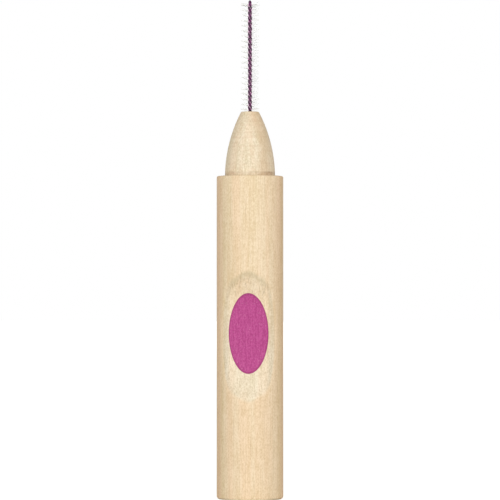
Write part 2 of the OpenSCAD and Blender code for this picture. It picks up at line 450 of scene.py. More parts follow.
def round_wire(name, r, capped):
    """A round section of radius r along the wire's path, as a mesh."""
    deselect_all()
    bpy.ops.curve.primitive_nurbs_path_add(radius=MM)
    wire = bpy.context.object
    wire.name = name
    wire.data.splines.clear()
    spline = wire.data.splines.new("POLY")
    spline.points.add(len(wire_path) - 1)
    for point, place in zip(spline.points, wire_path):
        point.co = (*place, 1)
    wire.data.bevel_depth = r * MM
    wire.data.bevel_resolution = WIRE_BEVEL
    wire.data.use_fill_caps = capped
    bpy.ops.object.convert(target="MESH")
    bpy.ops.object.transform_apply(location=True, rotation=True, scale=True)
    bpy.ops.object.mode_set(mode="EDIT")
    bpy.ops.mesh.select_all(action="SELECT")
    bpy.ops.mesh.remove_doubles(threshold=MERGE)
    bpy.ops.mesh.normals_make_consistent(inside=False)
    bpy.ops.object.mode_set(mode="OBJECT")
    return bpy.context.object


core = round_wire("steel_core", CORE_R, capped=True)
bpy.ops.object.shade_smooth_by_angle(angle=ROUND_ANGLE)
report(core)

# %% [markdown]
# The purple plastic is extruded onto the wire as a tube. It follows the same path at the
# larger radius, with open ends, and Solidify then gives it its wall on the inside. That
# keeps its outer size exact.

# %% Plastic sleeve
sleeve = round_wire("wire_sleeve", COATED_R, capped=False)
wall = sleeve.modifiers.new("wall", "SOLIDIFY")
wall.thickness = COAT_T * MM
wall.offset = -1
apply_modifiers(sleeve)
bpy.ops.object.shade_smooth_by_angle(angle=ROUND_ANGLE)
report(sleeve)

# %% [markdown]
# Each filament is one straight piece of clear nylon, gripped at its middle by the pair,
# so both of its ends stand out. They could be hair particles, but the neck bends meshes
# alone, so one is modelled, with a few rings so that it can bow. It has only six sides,
# because it is copied about two hundred times.

# %% One filament
BRUSH_R = 0.9
FILAMENT_R = 0.02
FILAMENT_SIDES = 6
FILAMENT_CUTS = (-0.62, -0.21, 0.21, 0.62)

deselect_all()
bpy.ops.mesh.primitive_cylinder_add(
    vertices=FILAMENT_SIDES,
    radius=FILAMENT_R * MM,
    depth=2 * BRUSH_R * MM,
    rotation=(0, math.radians(90), 0),
)
filament = bpy.context.object
filament.name = "filament"
bpy.ops.object.transform_apply(rotation=True)
bpy.ops.object.mode_set(mode="EDIT")
for share in FILAMENT_CUTS:
    bpy.ops.mesh.select_all(action="SELECT")
    bpy.ops.mesh.bisect(plane_co=(share * BRUSH_R * MM, 0, 0), plane_no=(1, 0, 0))
bpy.ops.object.mode_set(mode="OBJECT")
report(filament)

# %% [markdown]
# A machine lays the filaments between the two legs before it twists them, and the twist
# fans them out into a screw. So each copy is turned to lie in the gap between the legs at
# its own height, and it leans and bows a little differently. Towards the tip the pair
# untwists, so the last filaments lie nearly side by side, as a denser tuft.

# %% Heights of the filaments
FOOT_BARE = 0.115
TIP_BARE = 0.34
FILAMENTS_PER_TURN = 20
TUFT_DROP = 0.1
TUFT_EXTRA = 10
# Where in its own step a filament lies, so that the tuft's fall between the others
STEP_SHARE = 0.5
TUFT_STEP_SHARE = 0.3

first_z = NOSE_TOP + FOOT_BARE
last_z = PAIR_Z1 - TIP_BARE
step_z = TURN_LEN / FILAMENTS_PER_TURN
steps = int((last_z - first_z) / step_z)
tuft_z = UNTWIST_Z - TUFT_DROP
tuft_step_z = (last_z - tuft_z) / TUFT_EXTRA
filament_heights = [first_z + (i + STEP_SHARE) * step_z for i in range(steps)]
filament_heights += [tuft_z + (i + TUFT_STEP_SHARE) * tuft_step_z for i in range(TUFT_EXTRA)]
print(len(filament_heights), "filaments,", TUFT_EXTRA, "of them for the tuft alone")

# %% Fill the pair with filaments
TURN_SPREAD = math.radians(3)
LEAN_SPREAD = math.radians(2)
TUFT_LEAN_SPREAD = math.radians(4)
BOW = 0.07
BOW_SPREAD = 0.03
TRIM_SPREAD = 0.02
FILAMENT_CREASE = math.radians(70)
chance = random.Random(7)


def placed_filament(z, turn, lean, bow, trim):
    """A copy with its own mesh, its ends bowed up, laid between the legs at a height."""
    mesh = filament.data.copy()
    for vertex in mesh.vertices:
        share = vertex.co.x / (BRUSH_R * MM)
        vertex.co.x *= trim
        vertex.co.z += bow * MM * share * share
    place = Matrix.Translation((0, 0, z * MM))
    place = place @ Matrix.Rotation(filament_angle(z) + turn, 4, "Z")
    mesh.transform(place @ Matrix.Rotation(lean, 4, "Y"))
    return mesh


copies = []
for z in filament_heights:
    lean_spread = TUFT_LEAN_SPREAD if z > tuft_z else LEAN_SPREAD
    mesh = placed_filament(
        z,
        turn=chance.gauss(0, TURN_SPREAD),
        lean=chance.gauss(0, lean_spread),
        bow=BOW + chance.gauss(0, BOW_SPREAD),
        trim=1 - abs(chance.gauss(0, TRIM_SPREAD)),
    )
    copy = bpy.data.objects.new("filament_copy", mesh)
    bpy.context.scene.collection.objects.link(copy)
    copies.append(copy)
select_only(filament)
bpy.ops.object.delete()
select_only(copies[0])
for copy in copies:
    copy.select_set(True)
bpy.ops.object.join()
filaments = bpy.context.object
filaments.name = "nylon_filaments"
bpy.ops.object.shade_smooth_by_angle(angle=FILAMENT_CREASE)
report(filaments)

# %% [markdown]
# Materials are built from nodes. Colours are written as hex codes, the way a picture
# editor shows them, and turned to linear light by one function. One more function adds a
# node with its settings and links, and gives back one of its outputs for the next node.

# %% Helpers for materials


def linear(code):
    """A hex colour as Blender's linear colour."""
    parts = [int(code[i : i + 2], 16) / 255 for i in (1, 3, 5)]
    return [c / 12.92 if c <= 0.04045 else ((c + 0.055) / 1.055) ** 2.4 for c in parts] + [1]


def add(tree, kind, inputs=(), out=0, **settings):
    """A node with its settings. Each input is a value, or the output that it is linked to."""
    made = tree.nodes.new("ShaderNode" + kind)
    for name, value in settings.items():
        setattr(made, name, value)
    for key, value in dict(inputs).items():
        if isinstance(value, bpy.types.NodeSocket):
            tree.links.new(value, made.inputs[key])
        else:
            made.inputs[key].default_value = value
    return made.outputs[out] if made.outputs else None


def new_material(name):
    """A material with an empty node tree, and that tree."""
    material = bpy.data.materials.new(name)
    material.use_nodes = True
    material.node_tree.nodes.clear()
    return material, material.node_tree


# Settings and sockets of two nodes that come back often. Mix blends two colours, or
# multiplies the first by the second. Map Range goes from one end of its range to the other,
# and with EASE it does so smoothly.
BLEND = {"data_type": "RGBA"}
DARKEN = {"data_type": "RGBA", "blend_type": "MULTIPLY"}
FAC, A, B, MIXED = 0, 6, 7, 2
EASE = {"interpolation_type": "SMOOTHSTEP"}
VALUE, LOW, HIGH, TO_LOW, TO_HIGH = 0, 1, 2, 3, 4
print("the middle grey #808080 is", round(linear("#808080")[0], 3), "in linear light")

# %% [markdown]
# The handle is birch, sanded and left bare. To the eye that is a pale cream with fine
# straight fibres along the stick, a faint ripple across them, and hardly any gloss. The
# grain could be a picture wrapped round the stick, but it is one pattern in space,
# stretched along Z, so it runs on through the scoop and shows as dots on the sawn end.
# Real fibres are 0.03 mm wide, too fine to show here, so they are drawn at about 0.1 mm,
# with a speckle of the same width where the sanding has torn them.

# %% Grain of the birch
FIBRES_PER_MM = 9
BANDS_PER_MM = 1.6
RIPPLES_PER_MM = 1.5
# Coordinates scaled down along Z draw a pattern out along the stick
LONG = (1, 1, 0.04)
SHORT = (1, 1, 0.6)
GRAIN_SHIFT = (2 * MM, 0, 0)

birch, tree = new_material("birch_sanded_bare")
place = add(tree, "TexCoord", out="Object")
x, y, z = add(tree, "SeparateXYZ", {0: place}).node.outputs
along = add(tree, "Mapping", {"Vector": place, "Location": GRAIN_SHIFT, "Scale": LONG})
close = add(tree, "Mapping", {"Vector": place, "Scale": SHORT})
speckle = add(tree, "TexNoise", {"Vector": close, "Scale": FIBRES_PER_MM / MM, "Detail": 1})
fibres = add(tree, "TexNoise", {"Vector": along, "Scale": FIBRES_PER_MM / MM, "Detail": 2})
bands = add(tree, "TexNoise", {"Vector": along, "Scale": BANDS_PER_MM / MM, "Detail": 2})
ripple = add(tree, "TexNoise", {"Vector": place, "Scale": RIPPLES_PER_MM / MM, "Detail": 2})
grain = add(tree, "Math", {0: ripple, 1: 0.15}, operation="MULTIPLY")
for pattern, share in ((bands, 0.3), (fibres, 0.45), (speckle, 0.55)):
    grain = add(tree, "Math", {0: pattern, 1: share, 2: grain}, operation="MULTIPLY_ADD")
grain = add(tree, "MapRange", {VALUE: grain, LOW: 0.59, HIGH: 0.86})
print(len(tree.nodes), "nodes make the grain")

# %% [markdown]
# The dowel's own skin has yellowed. The nose and the scoop are fresh cuts, so they are paler
# and cooler, the upper end of the scoop a little less so. At the scoop's far sides the fresh
# colour is held back too, as painted shade where the wood turns away from the lamp. Skin and
# cut could be materials of separate faces, but the edge between them is soft, and a cut surface
# is simply nearer to the handle's axis than the skin is.

# %% Yellowed skin and fresh cuts
# Each pair says where a change starts and where it is complete, in millimetres: as a
# distance from the axis (R), a height (Z) or a distance to the side (X)
CUT_R = (BARREL_R - SKIN_T, BARREL_R - 0.09)
NOSE_Z = (BARREL_LEN - 0.2, BARREL_LEN + 0.1)
LOWER_Z = (20, 13)
FAR_SIDE_SHADE_X = (3.1, 1.8)


def between(low, high):
    """Two places on the object, in millimetres, as the limits of a Map Range node."""
    return {LOW: low * MM, HIGH: high * MM}


across = add(tree, "CombineXYZ", {0: x, 1: y})
radius = add(tree, "VectorMath", {0: across}, "Value", operation="LENGTH")
cut = add(tree, "MapRange", {VALUE: radius, **between(*CUT_R)}, **EASE)
on_nose = add(tree, "MapRange", {VALUE: z, **between(*NOSE_Z)}, **EASE)
below_nose = add(tree, "Math", {0: 1.0, 1: on_nose}, operation="SUBTRACT")
lower = add(
    tree, "MapRange", {VALUE: z, **between(*LOWER_Z), TO_LOW: 0.25, TO_HIGH: 1}, **EASE
)
aside = add(tree, "Math", {0: x}, operation="ABSOLUTE")
# Towards the scoop's far sides the fresh colour is held back, as painted shade.
middle = add(tree, "MapRange", {VALUE: aside, **between(*FAR_SIDE_SHADE_X)}, **EASE)
amount = add(tree, "Math", {0: lower, 1: middle}, operation="MULTIPLY")
amount = add(tree, "Math", {0: amount, 1: on_nose}, operation="MAXIMUM")
amount = add(tree, "Math", {0: amount, 1: cut}, operation="MULTIPLY")
skin = add(
    tree, "Mix", {FAC: grain, A: linear("#E9D1A8"), B: linear("#FCE9CB")}, MIXED, **BLEND
)
fresh = add(
    tree, "Mix", {FAC: grain, A: linear("#E5D5B4"), B: linear("#FFF3DB")}, MIXED, **BLEND
)
wood = add(tree, "Mix", {FAC: amount, A: skin, B: fresh}, MIXED, **BLEND)
print("skin turns to fresh wood over", round(CUT_R[0] - CUT_R[1], 2), "mm")

# %% [markdown]
# Beside the print the scoop is a little darker, which is painted shade where its floor curves
# away from the lamp. Along its upper end runs a thin greyish line of painted shade, where the
# rim turns down from the light. Both could be shaped, but neither is deep enough to show in the
# outline, so they are colour alone.

# %% Painted shade beside the print and along the rim's upper end
SHADE_BESIDE_PRINT_X = (1.6, 2.2)
RIM_R = (BARREL_R - 0.3, BARREL_R - 0.08)
RIM_LINE_SHADE_Z = (19.8, 21.2)

in_scoop = add(tree, "Math", {0: cut, 1: below_nose}, operation="MULTIPLY")
shade_beside_print = add(tree, "MapRange", {VALUE: aside, **between(*SHADE_BESIDE_PRINT_X), TO_HIGH: 0.8}, **EASE)
shade_beside_print = add(tree, "Math", {0: shade_beside_print, 1: in_scoop}, operation="MULTIPLY")
# The scoop's floor beside the print is darkened here, as painted shade.
wood = add(tree, "Mix", {FAC: shade_beside_print, A: wood, B: linear("#ECEDEE")}, MIXED, **DARKEN)

near_rim = add(tree, "MapRange", {VALUE: radius, **between(*RIM_R)}, **EASE)
rim_line_shade = add(tree, "MapRange", {VALUE: z, **between(*RIM_LINE_SHADE_Z), TO_HIGH: 0.36}, **EASE)
rim_line_shade = add(tree, "Math", {0: rim_line_shade, 1: near_rim}, operation="MULTIPLY")
rim_line_shade = add(tree, "Math", {0: rim_line_shade, 1: in_scoop}, operation="MULTIPLY")
# The thin greyish line along the rim's upper end is painted shade.
wood = add(tree, "Mix", {FAC: rim_line_shade, A: wood, B: linear("#CABC94")}, MIXED, **BLEND)
print(len(tree.nodes), "nodes up to the scoop's rim")

# %% [markdown]
# Below that line the drum ran against the grain and tore the fibres, which leaves short dark
# nicks. The wood there is also painted a little greyer, as shade on the scoop's upper slope,
# which faces down from the light. Single nicks could be drawn, but they are too many, so they
# are the darkest spots of a noise that is drawn out along the stick.

# %% Torn fibres and painted shade on the upper slope
TORN_AND_SHADED_Z = (18.8, 20.2)
NICKS_PER_MM = 6
NICK_SHAPE = (1, 1, 0.2)

torn_and_shaded = add(tree, "MapRange", {VALUE: z, **between(*TORN_AND_SHADED_Z)}, **EASE)
torn_and_shaded = add(tree, "Math", {0: torn_and_shaded, 1: in_scoop}, operation="MULTIPLY")
# The upper slope of the scoop is darkened a little here, as painted shade.
wood = add(tree, "Mix", {FAC: torn_and_shaded, A: wood, B: linear("#FAFAFA")}, MIXED, **DARKEN)
drawn_out = add(tree, "Mapping", {"Vector": place, "Scale": NICK_SHAPE})
nicks = add(tree, "TexNoise", {"Vector": drawn_out, "Scale": NICKS_PER_MM / MM, "Detail": 2})
nicks = add(tree, "MapRange", {VALUE: nicks, LOW: 0.53, HIGH: 0.7, TO_HIGH: 0.5})
nicks = add(tree, "Math", {0: nicks, 1: torn_and_shaded}, operation="MULTIPLY")
wood = add(tree, "Mix", {FAC: nicks, A: wood, B: linear("#BCA37C")}, MIXED, **BLEND)
print("nicks about", round(1 / NICKS_PER_MM, 2), "mm wide")

# %% [markdown]
# Birch isn't one colour. Wide, faint patches run pinker or greener, and the two sides of the
# stick carry a painted warm shade, a little warmer and darker than its face, where the stick
# turns away from the lamp. Its vessels are cut open along the stick, as darker dashes about 0.1
# mm wide. Patches and
# dashes could be patterns of their own, but both take the grain's long coordinates, so
# that they run the way the fibres do.

# %% Patches of colour, painted warm shade at the sides, and open vessels
WARM_SIDE_SHADE_X = (2.2, 3.1)
PATCHES_PER_MM = 0.75
VESSELS_PER_MM = 13

patches = add(tree, "TexNoise", {"Vector": along, "Scale": PATCHES_PER_MM / MM, "Detail": 1})
pinker = add(tree, "MapRange", {VALUE: patches, LOW: 0.5, HIGH: 0.66}, **EASE)
greener = add(tree, "MapRange", {VALUE: patches, LOW: 0.48, HIGH: 0.32}, **EASE)
warm_side_shade = add(tree, "MapRange", {VALUE: aside, **between(*WARM_SIDE_SHADE_X)}, **EASE)
# The last tint is painted warm shade on the stick's two sides, where it turns from the lamp.
for where, tint in ((pinker, "#FFFAF7"), (greener, "#FBFDF8"), (warm_side_shade, "#FFF6F1")):
    wood = add(tree, "Mix", {FAC: where, A: wood, B: linear(tint)}, MIXED, **DARKEN)

vessels = add(tree, "TexNoise", {"Vector": along, "Scale": VESSELS_PER_MM / MM, "Detail": 1})
dashes = add(tree, "MapRange", {VALUE: vessels, LOW: 0.62, HIGH: 0.78, TO_HIGH: 0.22})
wood = add(tree, "Mix", {FAC: dashes, A: wood, B: linear("#B08C5C")}, MIXED, **BLEND)
print("patches about", round(1 / PATCHES_PER_MM, 1), "mm wide")

# %% [markdown]
# The knife that shaped the nose left faint rings and a mottled skin, and the nose is a little
# darker towards the tip. A wave pattern could draw the rings, but too evenly, so they are a
# noise squeezed flat instead of drawn out.

# %% Rings and mottle of the nose
DARKER_TO_TIP_Z = (34, 36.5)
RINGS_PER_MM = 5
RING_SHAPE = (0.05, 0.05, 1)
MOTTLES_PER_MM = 2.2

flat = add(tree, "Mapping", {"Vector": place, "Scale": RING_SHAPE})
rings = add(tree, "TexNoise", {"Vector": flat, "Scale": RINGS_PER_MM / MM, "Detail": 1})
rings = add(tree, "MapRange", {VALUE: rings, LOW: 0.5, HIGH: 0.7, TO_HIGH: 0.2})
mottle = add(tree, "TexNoise", {"Vector": place, "Scale": MOTTLES_PER_MM / MM, "Detail": 3})
mottled = add(tree, "MapRange", {VALUE: mottle, LOW: 0.5, HIGH: 0.75, TO_HIGH: 0.3})
darker_to_tip = add(tree, "MapRange", {VALUE: z, **between(*DARKER_TO_TIP_Z), TO_HIGH: 0.14}, **EASE)
marks = add(tree, "Math", {0: rings, 1: mottled}, operation="ADD")
marks = add(tree, "Math", {0: marks, 1: darker_to_tip}, operation="ADD")
marks = add(tree, "Math", {0: marks, 1: on_nose}, operation="MULTIPLY")
wood = add(tree, "Mix", {FAC: marks, A: wood, B: linear("#DDBE96")}, MIXED, **BLEND)
print("rings about", round(1 / RINGS_PER_MM, 2), "mm apart")

# %% [markdown]
# A streak of darker wood runs down the right side of the nose, leaning inwards towards
# the tip. It could be a second noise, but there is only this one, so its place is worked
# out: it is where x is near a line that moves with the height.

# %% Dark streak in the nose
STREAK_Z = (34, NOSE_TOP)
STREAK_X = (1.5, 0.5)
STREAK_WIDTH = (0.95, 0.1)

left, right = (side * MM for side in STREAK_X)
centre_x = add(
    tree, "MapRange", {VALUE: z, **between(*STREAK_Z), TO_LOW: left, TO_HIGH: right}
)
off_centre = add(tree, "Math", {0: x, 1: centre_x}, operation="SUBTRACT")
off_centre = add(tree, "Math", {0: off_centre}, operation="ABSOLUTE")
streak = add(
    tree, "MapRange", {VALUE: off_centre, **between(*STREAK_WIDTH), TO_HIGH: 0.34}, **EASE
)
streak = add(tree, "Math", {0: streak, 1: on_nose}, operation="MULTIPLY")
wood = add(tree, "Mix", {FAC: streak, A: wood, B: linear("#DDB78C")}, MIXED, **BLEND)
print(len(tree.nodes), "nodes up to the streak")

# %% [markdown]
# At the foot of the nose runs an uneven brown band, darkest on the right. It could be a thin
# ring of its own, but it has no thickness, so it is one more colour inside several limits. It
# begins sharply at the shoulder, fades upwards, and stops at the nose's own width, which keeps
# the flat shoulder clean.

# %% Brown band at the foot of the nose
START_Z = (BARREL_LEN - 0.01, BARREL_LEN + 0.01)
END_Z = (BARREL_LEN + 0.5, BARREL_LEN + 0.25)
RIGHT_X = (0.6, 1.9)
SHOULDER_R = (NOSE_BASE_R + 0.2, NOSE_BASE_R + 0.1)

foot_band = add(tree, "MapRange", {VALUE: z, **between(*START_Z)})
fading = add(tree, "MapRange", {VALUE: z, **between(*END_Z)}, **EASE)
rightwards = add(
    tree, "MapRange", {VALUE: x, **between(*RIGHT_X), TO_LOW: 0.22, TO_HIGH: 0.6}, **EASE
)
uneven = add(tree, "MapRange", {VALUE: mottle, LOW: 0.36, HIGH: 0.62, TO_LOW: 0.4})
off_shoulder = add(tree, "MapRange", {VALUE: radius, **between(*SHOULDER_R)})
for limit in (fading, rightwards, uneven, off_shoulder):
    foot_band = add(tree, "Math", {0: foot_band, 1: limit}, operation="MULTIPLY")
wood = add(tree, "Mix", {FAC: foot_band, A: wood, B: linear("#94683F")}, MIXED, **BLEND)
print(len(tree.nodes), "nodes up to the scorch")

# %% [markdown]
# End grain shows the open ends of the fibres. It swallows more light than the sides do,
# so the sawn base, the shoulder and the tip of the nose are a darker tan with fine pores.
# Those faces could be given a material of their own, but their edges are round, so the
# change follows the normal, by how far it points up or down.

# %% End grain
PORES_PER_MM = 11

normal = add(tree, "NewGeometry", out="Normal")
upright = add(tree, "SeparateXYZ", {0: normal}, "Z")
upright = add(tree, "Math", {0: upright}, operation="ABSOLUTE")
sawn = add(tree, "MapRange", {VALUE: upright, LOW: 0.75, HIGH: 0.97, TO_HIGH: 0.75}, **EASE)
pores = add(tree, "TexNoise", {"Vector": place, "Scale": PORES_PER_MM / MM, "Detail": 2})
pores = add(tree, "MapRange", {VALUE: pores, LOW: 0.42, HIGH: 0.62})
tan = add(tree, "Mix", {FAC: pores, A: linear("#C6A374"), B: linear("#E6D0A8")}, MIXED, **BLEND)
wood = add(tree, "Mix", {FAC: sawn, A: wood, B: tan}, MIXED, **BLEND)
print("pores about", round(1 / PORES_PER_MM, 2), "mm wide")

# %% [markdown]
# The wood is sanded and left bare, so it is rough, with hardly any gloss, and its fibres
# stand up by a hundredth of a millimetre or so. They could be real relief, but that would
# take millions of faces, so a Bump node tilts the light instead.

# %% Bare, sanded finish
FUZZ_HEIGHT = 0.02

fuzz = add(tree, "Math", {0: vessels, 1: 0.5, 2: fibres}, operation="MULTIPLY_ADD")
bump = add(tree, "Bump", {"Height": fuzz, "Strength": 0.35, "Distance": FUZZ_HEIGHT * MM})
shader = add(
    tree,
    "BsdfPrincipled",
    {"Base Color": wood, "Roughness": 0.7, "Specular IOR Level": 0.3, "Normal": bump},
)
add(tree, "OutputMaterial", {"Surface": shader})
handle.data.materials.append(birch)
print(birch.name, "has", len(tree.nodes), "nodes")

# %% [markdown]
# The mark is pad-printed ink, a thin matte film. It could be one flat colour, but it
# follows the wood under it, so the fibres show as fine streaks of lighter and darker
# magenta, with pale specks where the ink has missed a pore.

# %% Printed ink
SPECKS_PER_MM = 8

ink, tree = new_material("ink_pad_printed")
place = add(tree, "TexCoord", out="Object")
along = add(tree, "Mapping", {"Vector": place, "Scale": LONG})
close = add(tree, "Mapping", {"Vector": place, "Scale": SHORT})
fibres = add(tree, "TexNoise", {"Vector": along, "Scale": FIBRES_PER_MM / MM, "Detail": 2})
speckle = add(tree, "TexNoise", {"Vector": close, "Scale": FIBRES_PER_MM / MM, "Detail": 1})
grain = add(tree, "Math", {0: fibres, 1: 0.8, 2: speckle}, operation="MULTIPLY_ADD")
grain = add(tree, "MapRange", {VALUE: grain, LOW: 0.7, HIGH: 1.1})
colour = add(
    tree, "Mix", {FAC: grain, A: linear("#B24384"), B: linear("#C75899")}, MIXED, **BLEND
)
specks = add(tree, "TexNoise", {"Vector": place, "Scale": SPECKS_PER_MM / MM, "Detail": 2})
specks = add(tree, "MapRange", {VALUE: specks, LOW: 0.62, HIGH: 0.76, TO_HIGH: 0.35})
colour = add(tree, "Mix", {FAC: specks, A: colour, B: linear("#E3A9C6")}, MIXED, **BLEND)
print(len(tree.nodes), "nodes up to the specks")

# %% [markdown]
# The pad squeezes a little more ink to the edge of the print, which is darker. Faces of
# the outer ring could have a darker material, but the change is softer than that. So a
# Mapping node squashes the oval to a circle of radius 1, where one distance finds the
# edge all the way round.

# %% Pooled edge and matte film
INK_RELIEF = 0.015

to_circle = (2 / MARK_W / MM, 0, 2 / MARK_LEN / MM)
to_middle = (0, 0, -2 * MARK_Z / MARK_LEN)
circle = add(tree, "Mapping", {"Vector": place, "Location": to_middle, "Scale": to_circle})
outwards = add(tree, "VectorMath", {0: circle}, "Value", operation="LENGTH")
pooled = add(tree, "MapRange", {VALUE: outwards, LOW: 0.92, HIGH: 0.99, TO_HIGH: 0.5}, **EASE)
colour = add(tree, "Mix", {FAC: pooled, A: colour, B: linear("#8F3366")}, MIXED, **BLEND)
bump = add(tree, "Bump", {"Height": fibres, "Strength": 0.2, "Distance": INK_RELIEF * MM})
shader = add(
    tree,
    "BsdfPrincipled",
    {"Base Color": colour, "Roughness": 0.7, "Specular IOR Level": 0.25, "Normal": bump},
)
add(tree, "OutputMaterial", {"Surface": shader})
mark.data.materials.append(ink)
print(ink.name, "has", len(tree.nodes), "nodes")

# %% [markdown]
# The glue is a cyanoacrylate, nearly black and cloudy, with a wet gloss on the small collar. It
# could be a dark glass, but it is opaque, so it is a plain glossy plastic with the glue's own
# IOR.

# %% Dried glue
GLUE_CLOUDS_PER_MM = 6

dried, tree = new_material("cyanoacrylate_dried")
place = add(tree, "TexCoord", out="Object")
cloudy = add(tree, "TexNoise", {"Vector": place, "Scale": GLUE_CLOUDS_PER_MM / MM, "Detail": 2})
cloudy = add(tree, "MapRange", {VALUE: cloudy, LOW: 0.35, HIGH: 0.65})
colour = add(
    tree, "Mix", {FAC: cloudy, A: linear("#1E1216"), B: linear("#33202A")}, MIXED, **BLEND
)
shader = add(tree, "BsdfPrincipled", {"Base Color": colour, "Roughness": 0.22, "IOR": 1.47})
add(tree, "OutputMaterial", {"Surface": shader})
glue.data.materials.append(dried)
print(dried.name, "has", len(tree.nodes), "nodes")

# %% [markdown]
# The core is drawn stainless steel: a bright metal with fine lines along it. They could
# be grooves, but lines as fine as these only make some of the steel duller than the
# rest. It shows only where the wire is cut, inside the bore.

# %% Drawn steel
LINES_PER_MM = 60
LINE_SHAPE = (1, 1, 0.05)

steel, tree = new_material("stainless_steel_drawn")
place = add(tree, "TexCoord", out="Object")
along = add(tree, "Mapping", {"Vector": place, "Scale": LINE_SHAPE})
lines = add(tree, "TexNoise", {"Vector": along, "Scale": LINES_PER_MM / MM, "Detail": 2})
gloss = add(
    tree, "MapRange", {VALUE: lines, LOW: 0.35, HIGH: 0.65, TO_LOW: 0.25, TO_HIGH: 0.42}
)
shader = add(
    tree,
    "BsdfPrincipled",
    {"Base Color": linear("#C9CACD"), "Metallic": 1.0, "Roughness": gloss},
)
add(tree, "OutputMaterial", {"Surface": shader})
core.data.materials.append(steel)
print(steel.name, "has", len(tree.nodes), "nodes")

# %% [markdown]
# The sleeve is nylon, extruded onto the wire and tinted a deep plum, a little unevenly. It is
# smooth and satin, so its turns catch a light line of the white surroundings. It could be a
# clear coat over the steel, but the tint is too deep to see through. Its lowest turn, just
# above the nose, is almost black.

# %% Tinted nylon sleeve
TINTS_PER_MM = 5
DARK_TURN_Z = (NOSE_TOP + 0.24, NOSE_TOP + 0.1)

tinted, tree = new_material("nylon_extruded_plum")
place = add(tree, "TexCoord", out="Object")
height = add(tree, "SeparateXYZ", {0: place}, "Z")
tints = add(tree, "TexNoise", {"Vector": place, "Scale": TINTS_PER_MM / MM, "Detail": 2})
tints = add(tree, "MapRange", {VALUE: tints, LOW: 0.35, HIGH: 0.65})
colour = add(
    tree, "Mix", {FAC: tints, A: linear("#450D3C"), B: linear("#5C1852")}, MIXED, **BLEND
)
dark_lowest_turn = add(tree, "MapRange", {VALUE: height, **between(*DARK_TURN_Z)}, **EASE)
colour = add(tree, "Mix", {FAC: dark_lowest_turn, A: colour, B: linear("#1E1017")}, MIXED, **BLEND)
shader = add(
    tree,
    "BsdfPrincipled",
    {"Base Color": colour, "Roughness": 0.32, "IOR": 1.53, "Specular IOR Level": 0.25},
)
add(tree, "OutputMaterial", {"Surface": shader})
sleeve.data.materials.append(tinted)
print(tinted.name, "has", len(tree.nodes), "nodes")

# %% [markdown]
# The filaments are clear nylon, drawn and cut. They are so thin that they look white where
# light catches them and faint grey against a white ground. Partly transparent white could
# stand in for them, but it wouldn't bend light, so they are a transmissive plastic with a
# slight haze.

# %% Clear nylon
HAZE_PER_MM = 4

clear, tree = new_material("nylon_drawn_clear")
place = add(tree, "TexCoord", out="Object")
haze = add(tree, "TexNoise", {"Vector": place, "Scale": HAZE_PER_MM / MM, "Detail": 2})
haze = add(tree, "MapRange", {VALUE: haze, LOW: 0.35, HIGH: 0.65})
colour = add(
    tree, "Mix", {FAC: haze, A: linear("#EFF0EC"), B: linear("#FAFAF8")}, MIXED, **BLEND
)
shader = add(
    tree,
    "BsdfPrincipled",
    {"Base Color": colour, "Roughness": 0.2, "IOR": 1.4, "Transmission Weight": 0.95},
)
add(tree, "OutputMaterial", {"Surface": shader})
filaments.data.materials.append(clear)
print(clear.name, "has", len(tree.nodes), "nodes")

# %% [markdown]
# Where the pair grips them, the filaments are crushed. Crushed nylon whitens, as a bent plastic
# strip does, so there it scatters light. Its pink is a painted highlight and a painted
# reflection of the sleeve beside it, for the light that shows between the two legs. The change
# could be a mask in the first material, but it is sharp, so it is a second material on the
# faces near the axis.

# %% Crushed nylon, with a painted pink highlight
CRUSH_PER_MM = 8

crushed, tree = new_material("nylon_crushed_pink_glint")
place = add(tree, "TexCoord", out="Object")
haze = add(tree, "TexNoise", {"Vector": place, "Scale": CRUSH_PER_MM / MM, "Detail": 2})
haze = add(tree, "MapRange", {VALUE: haze, LOW: 0.35, HIGH: 0.65})
# The pink of these colours is a painted highlight and a painted reflection of the sleeve.
colour = add(
    tree, "Mix", {FAC: haze, A: linear("#F0A8DC"), B: linear("#FFD4F4")}, MIXED, **BLEND
)
shader = add(
    tree,
    "BsdfPrincipled",
    {"Base Color": colour, "Roughness": 0.5, "IOR": 1.4, "Transmission Weight": 0.2},
)
add(tree, "OutputMaterial", {"Surface": shader})
filaments.data.materials.append(crushed)
gripped = [
    face
    for face in filaments.data.polygons
    if math.hypot(face.center.x, face.center.y) < PAIR_R * MM / 2
]
for face in gripped:
    face.material_index = 1
print(len(gripped), "faces are crushed")

# %% [markdown]
# Each piece now says which of the model's parts it stands for. The handle, its mark and the
# glue ride on the handle's body. The real neck isn't a hinge: the wire bends in a curve about 2
# mm long. The wire and the filaments could be cut there into two rigid halves, but they would
# tear apart, so they are left whole here, with their placing baked into their meshes.

rides = [
    (handle, "birch", ["handle"]),
    (mark, "mark_ink", ["size_mark"]),
    (glue, "adhesive", ["wire_adhesive"]),
]
bends = [
    (core, "steel_wire", ["wire_core_root", "wire_core_neck", "wire_core_head"]),
    (sleeve, "wire_coating", ["wire_coating_root", "wire_coating_neck", "wire_coating_head"]),
    (filaments, "nylon", ["bristles_neck", "bristles_head"]),
]
for piece, slot, nodes in rides:
    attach(piece, "handle")
for piece, slot, nodes in bends:
    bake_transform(piece)
for piece, slot, nodes in rides + bends:
    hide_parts(*nodes)
    print(piece.name, "stands for", nodes)

# %% [markdown]
# The brush stands on a plain white floor. It could be any large plane, but this one is a
# disc, wide enough to reach past the camera's view from every side.

# %% Floor
FLOOR_R = 2.5
FLOOR_SIDES = 64
FLOOR_INSET = 1.5

